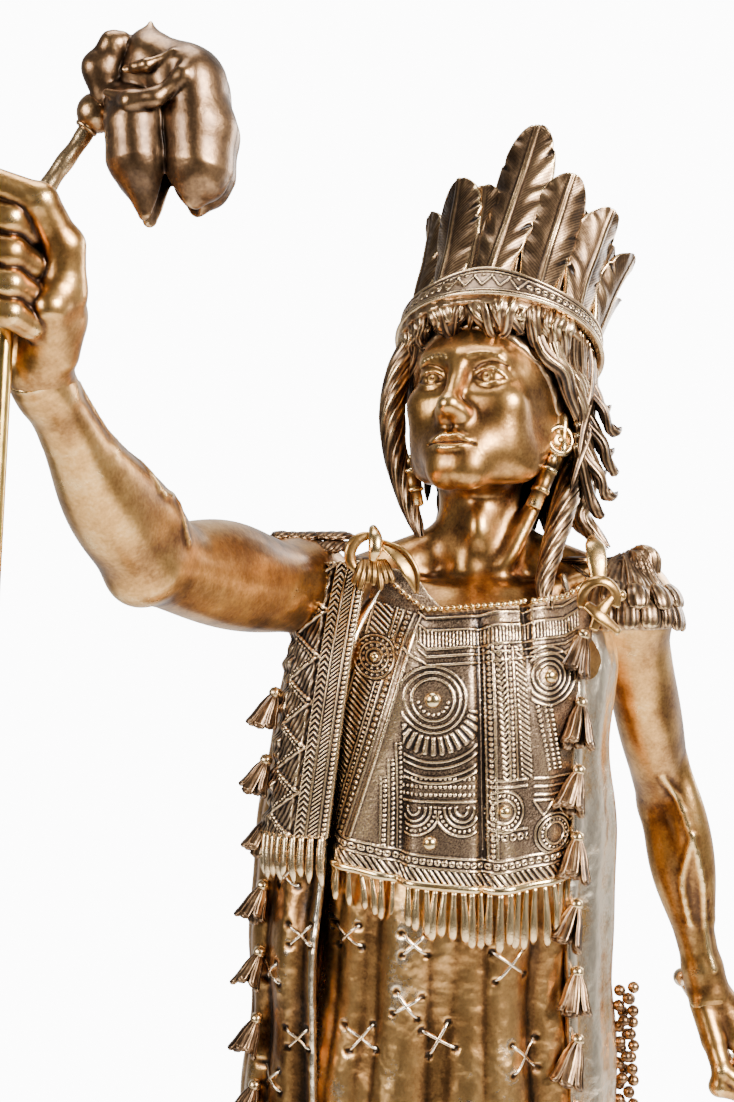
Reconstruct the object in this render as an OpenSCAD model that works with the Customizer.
// Bronze statuette of a standing chief with a feather crown and a lifted staff.
// Each casting, fitting and fastener is a module of its own.
// Origin: centre of the base's underside. +Z up, the figure faces -Y.

/* [Figure] */
// Chin to crown; the whole figure is drawn for 80 and scales with it
head_h = 80; // [70:1:90]
// How far the face turns towards the lifted arm, in degrees
head_turn = 26; // [20:1:30]
// How far the face lifts, in degrees
head_lift = 12; // [8:1:16]

/* [Base] */
// Overall height of pad, plinth and ground
base_h = 60; // [54:1:70]
// Radius of the plinth's foot
plinth_r = 92; // [88:1:100]
// Height of the turned plinth
plinth_h = 24; // [20:1:28]
// Thickness of the felt pad
felt_h = 2; // [1:0.5:3]

/* [Crown] */
// Feathers standing in the diadem
feather_count = 12; // [10:1:12]
// Length of the front feather
feather_l = 66; // [54:1:70]

/* [Staff] */
// Diameter of the brass shaft
shaft_d = 5; // [4:0.5:6]
// Running clearance of the shaft in the fist, on the radius
shaft_gap = 0.06; // [0.04:0.01:0.1]
// Shaft below the bend, ferrule included
shaft_l = 140; // [110:5:150]
// Lean of the shaft from the upright, in degrees
shaft_lean = 3; // [0:0.5:4]

/* [Garment] */
// Thickness of the cloak casting
cloak_t = 4; // [3:0.5:5]

/* [Hidden] */

k = head_h / 80;          // scale of the figure
facets = 24;              // sides of a garment's slice
thin = 0.1;               // thickness of a slice
room = 400;               // more than the figure's size, for cutting blocks
sole_t = 3;               // thickness of a sandal's sole
knee_z = 152;             // tunic's hem
waist_z = 372;            // where tunic and torso castings meet
tabard_z = 373;           // tabard's lower edge
hem_z = 369;              // lower edge of the tabard's band, which is 4 tall
stud_r = 2.5;             // radius of the threaded foot studs
stud_room = 0.1;          // their clearance on the radius
screw_r = 3;              // radius of the plinth screws
screw_ring = 60;          // radius of the circle they stand on
screw_angles = [90, 210, 330];

// Joints of the limbs, [x, y, z], and their radii
r_shoulder = [-52, 2, 480];
r_elbow = [-98, -98, 491];
r_wrist = [-118, -160, 542];
r_fist = [-117, -176, 566];
l_shoulder = [70, 10, 472];
l_elbow = [94, 54, 390];
l_wrist = [110, 50, 315];
l_fist = [118, 45, 293];
head_c = [17, 5, 550];        // middle of the head
neck_c = [13, 9, 478];
bend = [-124, -176, 572];     // where the shaft meets the crook
crook_end = [-104, -176, 601];  // where the crook meets the knop
knop_c = crook_end + [2.8, 0, 4.3];
flower_c = [-87, -176, 607];    // middle of the flower
l_ear_ring = [[34, -12, 524], [28, -15, 507]];     // earrings, top and bottom
r_ear_ring = [[-15, 12, 528], [-12, 11, 510]];
band_r = 38;              // diadem's radius across the head
band_oval = 1.04;         // its depth over its width
band_turn = 10;           // how far the diadem sits turned back from the face
wall = 5;                 // wall of the hollow castings
hatchet_top = [99, 53, 316];    // butt of the handle, beside the wrist
hatchet_low = [146, 20, 236];   // where the handle meets the blade

// Rows of a body: height, middle across and along, half width, half depth
torso_rows = [[waist_z + thin, 0, 6, 46, 32], [400, 2, 6, 48, 33], [430, 5, 4, 51, 34], [452, 8, 3, 53, 32],
              [466, 9, 4, 52, 29], [478, 11, 6, 44, 24], [487, 12, 8, 30, 19]];
tunic_rows = [[knee_z, -2, 6, 56, 41], [200, -3, 6, 54, 40], [260, -3, 5, 52, 39],
              [320, -2, 4, 49, 37], [waist_z, 0, 4, 47, 35]];
cloak_rows = [[96, -6, 16, 76, 52], [200, -6, 14, 73, 49], [312, -6, 13, 70, 46],
              [waist_z, -5, 12, 68, 44], [430, -2, 8, 65, 43], [458, 3, 6, 61, 38],
              [476, 6, 8, 54, 28], [486, 9, 11, 40, 20]];
tabard_rows = [[tabard_z, 0, 3, 49, 38], [400, 1, 3, 49, 38], [430, 3, 1, 50, 38],
               [452, 6, 0, 50, 35], [466, 8, 2, 47, 31], [472, 9, 3, 46, 29]];

// ---------- shared shapes ----------

module figure() translate([0, 0, base_h]) scale(k) children();

module ball(p, r, fn = 16) translate(p) sphere(r = r, $fn = fn);

// Limb through a list of [point, radius]
module limb(stations, fn = 16) {
    for (i = [0:len(stations) - 2])
        hull() {
            ball(stations[i][0], stations[i][1], fn);
            ball(stations[i + 1][0], stations[i + 1][1], fn);
        }
}

module slice(row, grow) {
    translate([row[1], row[2], row[0]])
        scale([row[3] + grow, row[4] + grow, 1])
            cylinder(r = 1, h = thin, $fn = facets);
}

function between(a, b, t) = [for (i = [0:len(a) - 1]) a[i] * (1 - t) + b[i] * t];

// Body through elliptical slices; each step is halved, which keeps the flanks smooth
module stack(rows, grow = 0) {
    for (i = [0:len(rows) - 2], t = [0, 0.5])
        hull() {
            slice(between(rows[i], rows[i + 1], t), grow);
            slice(between(rows[i], rows[i + 1], t + 0.5), grow);
        }
}

module head_frame() translate(head_c) rotate([0, 0, -head_turn]) rotate([-head_lift, 0, 0]) children();

// Frame whose Z runs from a towards b, with its origin at a given point
module bar_frame(a, b, origin) {
    d = b - a;
    translate(origin) rotate([0, acos(d[2] / norm(d)), atan2(d[1], d[0])]) children();
}

// Straight bar from a to b
module bar(a, b, r1, r2, fn = 48) bar_frame(a, b, a) cylinder(r1 = r1, r2 = r2, h = norm(b - a), $fn = fn);

// ---------- body shapes, later ones cut by earlier ones ----------

module torso_shape() {
    stack(torso_rows);
    hull() {
        ball(r_shoulder + [10, 0, -8], 15);
        ball(neck_c + [-14, 0, -10], 15);
    }
    hull() {
        ball(l_shoulder + [-12, -2, -4], 15);
        ball(neck_c + [14, 0, -10], 15);
    }
}

module neck_shape() {
    limb([[neck_c + [0, 0, -2], 17], [neck_c + [0, 1, 20], 15.5], [neck_c + [2, 2, 58], 16]]);
}

module skull_shape() {
    head_frame() {
        scale([0.7, 0.92, 0.92]) sphere(r = 40, $fn = 24);
        hull() {
            translate([0, -12, -30]) scale([0.8, 1, 1]) sphere(r = 15, $fn = 20);
            translate([0, -10, 0]) scale([0.9, 1, 1]) sphere(r = 26, $fn = 20);
        }
    }
}

module head_shape() {
    neck_shape();
    skull_shape();
    for (side = [-1, 1])
        hull() {
            head_frame() translate([side * 26, 4, -12]) sphere(r = 5, $fn = 12);
            head_frame() translate([side * 20, 4, -8]) sphere(r = 7, $fn = 12);
        }
    for (i = [0:3])
        hull() {
            head_frame() translate([0, -34 - i, 2 - 5 * i]) sphere(r = 3 + i * 0.6, $fn = 12);
            head_frame() translate([0, -30, -4 - 4 * i]) sphere(r = 5, $fn = 12);
        }
}

module right_arm_shape() {
    limb([[r_shoulder, 19], [between(r_shoulder, r_elbow, 0.45), 19.5],
          [between(r_shoulder, r_elbow, 0.8), 17.5], [r_elbow, 15.5],
          [between(r_elbow, r_wrist, 0.35), 15], [between(r_elbow, r_wrist, 0.7), 11.5], [r_wrist, 8.5]]);
    hull() {
        ball(r_elbow + [-3, 6, -6], 9);
        ball(r_elbow, 12);
    }
    hull() {
        ball(between(r_shoulder, r_elbow, 0.5) + [0, 0, 4], 16);
        ball(between(r_shoulder, r_elbow, 0.3) + [0, 0, 4], 16);
    }
}

module left_arm_shape() {
    limb([[l_shoulder, 16], [between(l_shoulder, l_elbow, 0.35), 15.5],
          [between(l_shoulder, l_elbow, 0.75), 14], [l_elbow, 13],
          [between(l_elbow, l_wrist, 0.3), 15], [between(l_elbow, l_wrist, 0.65), 12], [l_wrist, 9]]);
    hull() {
        ball(l_elbow + [0, 7, 2], 8);
        ball(l_elbow, 11);
    }
    hull() {
        ball(between(l_shoulder, l_elbow, 0.5) + [0, -2, 0], 13);
        ball(between(l_shoulder, l_elbow, 0.3) + [0, -2, 0], 13);
    }
}

module tabard_shape() {
    intersection() {
        stack(tabard_rows);
        translate([-room / 2, 4 - room, tabard_z]) cube(room);
    }
}

module cloak_shape() {
    difference() {
        stack(cloak_rows);
        intersection() {
            stack(cloak_rows, -cloak_t);
            translate([-room / 2, -room / 2, 466 - room]) cube(room);
        }
        // open front, narrower at the right shoulder than at the left
        translate([-46, -room, 80]) cube([90, room, 420]);
    }
}

module mantle_shape() {
    limb([[l_shoulder + [-20, -12, 10], 9], [l_shoulder + [-8, -14, 6], 11], [l_shoulder + [4, -12, 0], 12],
          [l_shoulder + [10, -4, -3], 12], [l_shoulder + [10, 8, -3], 12], [l_shoulder + [2, 14, 2], 12],
          [l_shoulder + [-10, 16, 8], 11], [l_shoulder + [-22, 12, 10], 9]], 12);
    hull() {
        ball(l_shoulder + [-4, 0, 8], 13, 12);
        ball(l_shoulder + [6, 2, 4], 13, 12);
    }
}

module band_frame() head_frame() translate([0, 2, 23]) rotate([-13, 0, band_turn]) children();

module diadem_band() band_frame() scale([1, band_oval, 1])
    cylinder(r = band_r, h = 10, center = true, $fn = 40);

module hair_shape() {
    head_frame() {
        for (side = [-1, 1])
            hull() {
                translate([side * 24, -6, 14]) sphere(r = 10, $fn = 12);
                translate([side * 26, 16, -8]) sphere(r = 12, $fn = 12);
            }
        hull() {
            translate([0, 26, 10]) sphere(r = 16, $fn = 12);
            translate([10, 24, -14]) sphere(r = 15, $fn = 12);
        }
        hull() {
            translate([-14, 24, 6]) sphere(r = 15, $fn = 12);
            translate([-8, 26, -16]) sphere(r = 13, $fn = 12);
        }
        hull() {
            translate([28, 20, -4]) sphere(r = 12, $fn = 12);
            translate([38, 26, -14]) sphere(r = 8, $fn = 12);
        }
    }
    // Locks that hang to the collar on either side
    limb([[[50, 12, 544], 9], [[54, 12, 528], 8], [[47, 7, 514], 7], [[40, -5, 496], 5.5],
          [[34, -20, 480], 4.5]], 12);
    limb([[[-19, 10, 554], 7], [[-20, 12, 536], 8], [[-16, 13, 514], 6.5], [[-10, 11, 498], 5]], 12);
}

// ---------- base ----------

module felt_pad() color("darkgreen") cylinder(r = plinth_r - 4, h = felt_h, $fn = 96);

module plinth() color("saddlebrown")
    difference() {
        translate([0, 0, felt_h])
            rotate_extrude($fn = 96)
                polygon(concat(
                    [[0, 0], [plinth_r, 0], [plinth_r, 5]],
                    [for (a = [90:-15:0]) [plinth_r - 6 + 5 * (1 - sin(a)) , 6 + 6 * cos(a) ]],
                    [[plinth_r - 7, 14], [plinth_r - 9, plinth_h - felt_h - 3],
                     [plinth_r - 10, plinth_h - felt_h], [0, plinth_h - felt_h]]));
        for (a = screw_angles) rotate([0, 0, a]) translate([screw_ring, 0, 0]) {
            cylinder(r = screw_r + 0.1, h = 100, $fn = 32);
            cylinder(r = 6.5, h = 10, $fn = 32);
        }
        for (p = studs()) translate([p[0], p[1], 0]) cylinder(r = 9, h = plinth_h - 4, $fn = 32);
        for (p = studs()) translate([p[0], p[1], 0]) cylinder(r = stud_r + stud_room, h = 100, $fn = 32);
    }

function studs() = [[-24, 10] * k, [40, -10] * k];

module terrace() color("sienna")
    difference() {
        union() {
            translate([0, 0, plinth_h]) cylinder(r1 = plinth_r - 12, r2 = plinth_r - 14, h = 12, $fn = 40);
            for (i = [0:8])
                hull() {
                    translate([0, 0, plinth_h + 2]) cylinder(r = 40, h = base_h - plinth_h - 2, $fn = 24);
                    rotate([0, 0, i * 40]) translate([46 + 5 * (i % 3), 0, plinth_h + 2])
                        cylinder(r1 = 25 - 3 * (i % 3), r2 = 16 - (i % 3),
                                 h = base_h - plinth_h - 2, $fn = 12);
                }
        }
        difference() {
            translate([0, 0, plinth_h - 1]) cylinder(r1 = plinth_r - 26, r2 = 48, h = 23, $fn = 40);
            for (p = studs()) translate([p[0], p[1], 0]) cylinder(r = 8, h = 100, $fn = 24);
            for (a = screw_angles) rotate([0, 0, a]) translate([screw_ring, 0, 0])
                cylinder(r = 8, h = 100, $fn = 24);
        }
        for (p = studs()) translate([p[0], p[1], plinth_h - 1])
            cylinder(r = stud_r + stud_room, h = 100, $fn = 24);
        for (a = screw_angles) rotate([0, 0, a]) translate([screw_ring, 0, plinth_h - 1])
            cylinder(r = screw_r + 0.05, h = 9, $fn = 24);
    }

module plinth_screws() color("goldenrod")
    for (a = screw_angles) rotate([0, 0, a]) translate([screw_ring, 0, 0])
        difference() {
            union() {
                translate([0, 0, 6]) cylinder(r = 5.5, h = 4, $fn = 32);
                translate([0, 0, 6]) cylinder(r = screw_r, h = plinth_h + 1, $fn = 32);
            }
            translate([0, 0, 7]) cube([20, 1.2, 2.2], center = true);
        }

module foot_studs() color("goldenrod")
    for (p = studs()) translate([p[0], p[1], 9]) cylinder(r = stud_r, h = base_h + 24 - 9, $fn = 32);

module foot_washers() color("goldenrod")
    for (p = studs()) translate([p[0], p[1], plinth_h - 5.5])
        difference() {
            cylinder(r = 7, h = 1.5, $fn = 32);
            translate([0, 0, -1]) cylinder(r = stud_r + 0.05, h = 4, $fn = 32);
        }

module foot_nuts() color("goldenrod")
    for (p = studs()) translate([p[0], p[1], plinth_h - 10.5])
        difference() {
            cylinder(r = 5, h = 5, $fn = 6);
            translate([0, 0, -1]) cylinder(r = stud_r + 0.05, h = 8, $fn = 32);
        }

// ---------- legs ----------

// Knee, calf, ankle and heel, ball and toe of the foot, and the stud's place under it
module leg(knee, calf, ankle, heel, ball_p, toe, stud) color("peru") figure()
    difference() {
        union() {
            limb([[knee + [0, 0, 20], 14], [knee, 13], [calf + [0, 0, 20], 14], [calf, 14],
                  [between(calf, ankle, 0.5), 12], [between(calf, ankle, 0.8), 9.5],
                  [ankle, 8.5], [heel, 8]]);
            hull() {
                ball(ankle, 8, 16);
                ball(ball_p, 7, 16);
            }
            hull() {
                ball(heel, 7.5, 16);
                ball(ball_p, 7, 16);
            }
            hull() {
                ball(ball_p, 7, 16);
                ball(toe, 4.5, 16);
            }
        }
        translate([-room / 2, -room / 2, sole_t - room]) cube(room);
        translate([-room / 2, -room / 2, knee_z]) cube(room);
        translate([stud[0], stud[1], -1]) cylinder(r = stud_r + stud_room, h = 25.2, $fn = 24);
    }

module right_leg()
    leg([-25, 0, 140], [-25, 9, 100], [-24, 10, 24], [-24, 13, 9], [-28, -20, 9], [-30, -36, 7], [-24, 10]);
module left_leg()
    leg([28, -5, 140], [34, -3, 100], [40, -10, 24], [39, -6, 9], [49, -40, 9], [54, -54, 7], [40, -10]);

module sandal(heel, ball_p, toe, stud) color("sienna") figure()
    difference() {
        hull() {
            translate(heel) cylinder(r = 10, h = sole_t, $fn = 24);
            translate(ball_p) cylinder(r = 11, h = sole_t, $fn = 24);
            translate(toe) cylinder(r = 7, h = sole_t, $fn = 24);
        }
        translate([stud[0], stud[1], -1]) cylinder(r = stud_r + stud_room, h = 10, $fn = 24);
    }

module right_sandal() sandal([-24, 14, 0], [-28, -20, 0], [-30, -37, 0], [-24, 10]);
module left_sandal() sandal([39, -5, 0], [49, -40, 0], [54, -55, 0], [40, -10]);

// ---------- garments and body ----------

module tunic() color("peru") figure() difference() {
    stack(tunic_rows);
    intersection() {
        stack(tunic_rows, -wall);
        translate([-room / 2, -room / 2, knee_z + 10]) cube(room);
    }
}

// Drops hanging from an edge, each a closed tapered rod
module drops(points, l, r1, r2)
    for (p = points) translate(p + [0, 0, -l]) cylinder(r1 = r1, r2 = r2, h = l, $fn = 16);

function ring_points(row, grow, from, to, n) = [for (i = [0:n - 1])
    let (a = from + (to - from) * i / (n - 1))
    [row[1] + (row[3] + grow) * cos(a), row[2] + (row[4] + grow) * sin(a), 0]];

module tunic_fringe() color("sienna") figure()
    drops([for (p = ring_points(tunic_rows[0], -3, 0, 351, 40)) p + [0, 0, knee_z]], 16, 2.2, 1.4);

module torso() color("peru") figure() difference() {
    torso_shape();
    stack([for (row = torso_rows) if (row[0] < 460) row - [1, 0, 0, wall + 1, wall + 1]]);
    shoulder_pins(0.05);
}

module tabard() color("sienna") figure() difference() {
    tabard_shape();
    torso_shape();
    neck_shape();
}

module band_outline(t) difference() {
    translate([0, 0, hem_z]) stack([for (z = [0, 4]) tabard_rows[0] - [tabard_z - z, 0, 0, -t, -t]]);
    translate([0, 0, hem_z - 9]) stack([for (z = [0, 20]) tabard_rows[0] - [tabard_z - z, 0, 0, 2.5, 2.5]]);
    translate([-room / 2, 4, hem_z - 60]) cube(room);
}

module tabard_band() color("peru") figure() difference() {
    band_outline(1.6);
    stack(tunic_rows);
    tabard_shape();
    cloak_shape();
}

module tabard_fringe() color("goldenrod") figure()
    drops([for (p = ring_points(tabard_rows[0], 1.2, 200, 324, 24)) p + [0, 0, hem_z - 0.1]],
          22, 1.7, 1.3);

module collar_beads() color("goldenrod") figure()
    let (top = tabard_rows[len(tabard_rows) - 1], r = 1.5)
        for (p = ring_points(top, -1, 232, 318, 20)) translate([p[0], p[1], top[0] + thin + r])
            sphere(r = r, $fn = 24);

function stud_places() = [[-27, 446], [1, 440], [30, 440], [-1, 391], [22, 400]];

module tabard_studs() color("gold") figure() difference() {
    for (p = stud_places()) translate([p[0], -36, p[1]]) rotate([90, 0, 0])
        cylinder(r = 3, h = 6, $fn = 24);
    tabard_shape();
    torso_shape();
}

module cloak() color("saddlebrown") figure() difference() {
    cloak_shape();
    torso_shape();
    neck_shape();
    tabard_shape();
    stack(tunic_rows);
    right_arm_shape();
    left_arm_shape();
}

// Point on the flank of a stack of rows at height z, at an angle around the body
function row_at(rows, z, i = 0) = i >= len(rows) - 2 || z < rows[i + 1][0]
    ? between(rows[i], rows[i + 1], (z - rows[i][0]) / (rows[i + 1][0] - rows[i][0]))
    : row_at(rows, z, i + 1);
function flank(rows, z, angle, grow) = let (row = row_at(rows, z))
    [row[1] + (row[3] + grow) * cos(angle), row[2] + (row[4] + grow) * sin(angle), z];

// Tufts down the cloak's front edges, each a closed pear
module tassel(p, l) translate(p) {
    translate([0, 0, -l]) cylinder(r1 = 3.4, r2 = 1.6, h = l, $fn = 24);
    translate([0, 0, -l]) sphere(r = 3.4, $fn = 24);
}

module cloak_tassels_right() color("goldenrod") figure()
    for (i = [0:12]) tassel(flank(cloak_rows, 440 - 25 * i, 194, 2.4), 8);

// The left row hangs outside the tabard's hem and the tunic
module cloak_tassels_left() color("goldenrod") figure()
    for (i = [0:13]) tassel(flank(cloak_rows, 455 - 25 * i, 316.5, 2.6), 8);

module shoulder_mantle() color("saddlebrown") figure() difference() {
    mantle_shape();
    torso_shape();
    neck_shape();
    left_arm_shape();
    cloak_shape();
    tabard_shape();
}

// Crescent ring standing on the shoulder
module clasp_shape(at, turn) translate(at) rotate(turn) {
    rotate_extrude(angle = 300, start = 30, $fn = 32) translate([8, 0]) circle(r = 2, $fn = 12);
    sphere(r = 3.6, $fn = 16);
    rotate([0, 90, 0]) cylinder(r = 1.2, h = 16, center = true, $fn = 16);
}

module right_clasp() color("gold") figure() difference() {
    clasp_shape([-30, -27, 487], [70, 0, 20]);
    torso_shape();
    tabard_shape();
    cloak_shape();
    right_arm_shape();
}

module left_clasp() color("gold") figure() difference() {
    clasp_shape([48, -24, 478], [70, 0, -30]);
    torso_shape();
    tabard_shape();
    mantle_shape();
    cloak_shape();
    left_arm_shape();
}

// ---------- arms and hands ----------

module shoulder_pins(grow) {
    translate(r_shoulder + [2, 0, -16]) cylinder(r = 1.6 + grow, h = 28, $fn = 24);
    translate(l_shoulder + [-6, 0, -16]) cylinder(r = 1.6 + grow, h = 26, $fn = 24);
}

module arm_pins() color("goldenrod") figure() shoulder_pins(0);

module right_arm() color("peru") figure() difference() {
    right_arm_shape();
    torso_shape();
    right_hand_shape();
    shoulder_pins(0.05);
}

module right_hand_shape() {
    hull() {
        ball(r_wrist + [0, -1, 3], 9, 20);
        ball(r_fist + [-2, 2, -14], 8, 20);
        ball(r_fist + [4, 0, -6], 9, 20);
    }
    hull() {
        ball(r_fist + [-4, 0, -10], 8.5, 20);
        ball(r_fist + [-12, 0, -8], 7, 20);
        ball(r_fist + [4, 1, 6], 8.5, 20);
        ball(r_fist + [-12, 0, 7], 7, 20);
    }
}

module right_hand() color("peru") figure() difference() {
    right_hand_shape();
    translate(bend) rotate([0, shaft_lean, 0]) translate([0, 0, -80])
        cylinder(r = shaft_d / 2 + shaft_gap, h = 80, $fn = 64);
    crook_slot();
}

// Room above the crook's slope, so that the staff lifts straight out
module crook_slot() {
    hull() {
        for (lift = [0, 30]) translate(lift * [sin(shaft_lean), 0, cos(shaft_lean)]) {
            ball(bend, shaft_d / 2 + shaft_gap + 0.1, 24);
            ball(between(bend, crook_end, 0.6), shaft_d / 2 + shaft_gap + 0.1, 24);
        }
    }
}

module left_arm() color("peru") figure() difference() {
    left_arm_shape();
    torso_shape();
    left_hand_shape();
    shoulder_pins(0.05);
}

module left_hand_shape() {
    hull() {
        ball(l_wrist + [1, -1, -3], 9, 20);
        ball(l_fist + [0, 2, 6], 11, 20);
    }
    hull() {
        ball(l_fist + [-3, 2, 5], 10, 20);
        ball(l_fist + [3, -4, -6], 10, 20);
        ball(l_fist + [-2, -8, -3], 8, 20);
    }
}

module left_hand() color("peru") figure() difference() {
    left_hand_shape();
    bar(hatchet_top, hatchet_low, 2.8, 2.8);
}

module hatchet_handle() color("sienna") figure() difference() {
    union() {
        bar(hatchet_top, hatchet_low, 2.8, 2.8);
        ball(hatchet_top, 3.8, 24);
    }
    left_arm_shape();
}

module hatchet_head() color("gray") figure()
    bar_frame(hatchet_top, hatchet_low, hatchet_low) {
        cylinder(r = 5, h = 16, $fn = 24);
        translate([4, -1.5, 1]) cube([18, 3, 13]);
    }

// ---------- head ----------

module head() color("peru") figure() difference() {
    head_shape();
    torso_shape();
}

module hair() color("saddlebrown") figure() difference() {
    hair_shape();
    head_shape();
    torso_shape();
    diadem_band();
    cloak_shape();
    mantle_shape();
    tabard_shape();
    band_frame() translate([-50, -60, -4.9]) cube([100, 120, 60]);
    for (ends = [r_ear_ring, l_ear_ring]) bar(ends[0] + [0, 0, 2], ends[1] - [0, 0, 2], 4, 4, 16);
}

module diadem() color("goldenrod") figure() difference() {
    diadem_band();
    diadem_core();
    head_shape();
}

module diadem_core() band_frame() scale([1, band_oval, 1])
    cylinder(r = band_r - 3, h = 30, center = true, $fn = 40);

// Feather i stands on the band; the front ones are the longest
module crown_feather(i) color("goldenrod") figure() {
    a = -90 + (i - 1) * 360 / feather_count;
    l = feather_l * (0.72 - 0.28 * sin(a));
    band_frame()
        translate([(band_r - 1.5) * cos(a), (band_r - 1.5) * band_oval * sin(a), 4.2])
            rotate([0, 0, a]) rotate([0, 3, 0]) rotate([90, 0, 90])
                linear_extrude(2.4, center = true)
                    polygon([[-3, 0.8], [-7, l * 0.3], [-8, l * 0.7], [-5, l * 0.94], [0, l],
                             [5, l * 0.94], [8, l * 0.7], [7, l * 0.3], [3, 0.8]]);
}

// Stepped tube from top to bottom, each step thinner than the last
module earring(ends) {
    for (i = [0:2])
        bar(between(ends[0], ends[1], i / 3), between(ends[0], ends[1], (i + 1) / 3),
            3.4 - 0.7 * i, 3.4 - 0.7 * i, 24);
}

module right_earring() color("gold") figure() difference() {
    earring(r_ear_ring);
    head_shape();
}

module left_earring() color("gold") figure() difference() {
    earring(l_ear_ring);
    head_shape();
}

// Beads hanging behind the left hip
module bead_strand() color("gray") figure()
    for (i = [0:10]) translate([66.5 + sin(i * 55), 16 + 1.5 * cos(i * 70), 322 - 6.4 * i])
        sphere(r = 3, $fn = 24);

// ---------- staff ----------

module staff_shaft() color("gold") figure()
    translate(bend) rotate([0, shaft_lean, 0]) translate([0, 0, -shaft_l + 12])
        cylinder(r = shaft_d / 2, h = shaft_l - 12, $fn = 64);

module staff_ferrule() color("goldenrod") figure()
    translate(bend) rotate([0, shaft_lean, 0]) translate([0, 0, -shaft_l])
        union() {
            cylinder(r1 = 1, r2 = shaft_d / 2 + 0.6, h = 9, $fn = 32);
            translate([0, 0, 9]) cylinder(r = shaft_d / 2 + 0.6, h = 3, $fn = 32);
        }

module staff_crook() color("sienna") figure() difference() {
    union() {
        ball(bend, shaft_d / 2, 32);
        bar(bend, crook_end, shaft_d / 2, shaft_d / 2 - 0.3);
    }
    translate(bend) rotate([0, shaft_lean, 0]) translate([0, 0, -20])
        cylinder(r = shaft_d / 2 + 1, h = 20, $fn = 32);
    ball(knop_c, 5.2, 32);
}

module staff_knop() color("goldenrod") figure() ball(knop_c, 5.2, 32);

// Outer shape of the curled flower: upright petals and two hanging lobes
module staff_flower() color("sienna") figure() difference() {
    union() {
        limb([[crook_end + [6, 0, 7], 5], [flower_c + [0, 0, 6], 9], [flower_c + [10, 0, 12], 10],
              [flower_c + [19, 0, 4], 9], [flower_c + [20, 0, -10], 8], [flower_c + [14, 0, -20], 5]], 16);
        limb([[flower_c + [-4, 0.3, 4], 7], [flower_c + [-2, 0.3, -8], 8], [flower_c + [4, 0.3, -22], 4]], 16);
        limb([[flower_c + [-6, -0.3, 8], 6], [flower_c + [-9, -0.3, 13], 4]], 16);
        limb([[flower_c + [4, 0.2, 14], 7], [flower_c + [1, 0.2, 17], 4]], 16);
    }
    ball(knop_c, 5.25, 32);
}

felt_pad();
plinth();
terrace();
plinth_screws();
foot_studs();
foot_washers();
foot_nuts();
right_leg();
left_leg();
right_sandal();
left_sandal();
tunic();
tunic_fringe();
torso();
tabard();
tabard_band();
tabard_fringe();
collar_beads();
tabard_studs();
cloak();
cloak_tassels_right();
cloak_tassels_left();
shoulder_mantle();
right_clasp();
left_clasp();
right_arm();
right_hand();
left_arm();
left_hand();
arm_pins();
head();
hair();
diadem();
right_earring();
left_earring();
bead_strand();
hatchet_handle();
hatchet_head();
for (i = [1:feather_count])
    crown_feather(i);
staff_shaft();
staff_ferrule();
staff_crook();
staff_knop();
staff_flower();
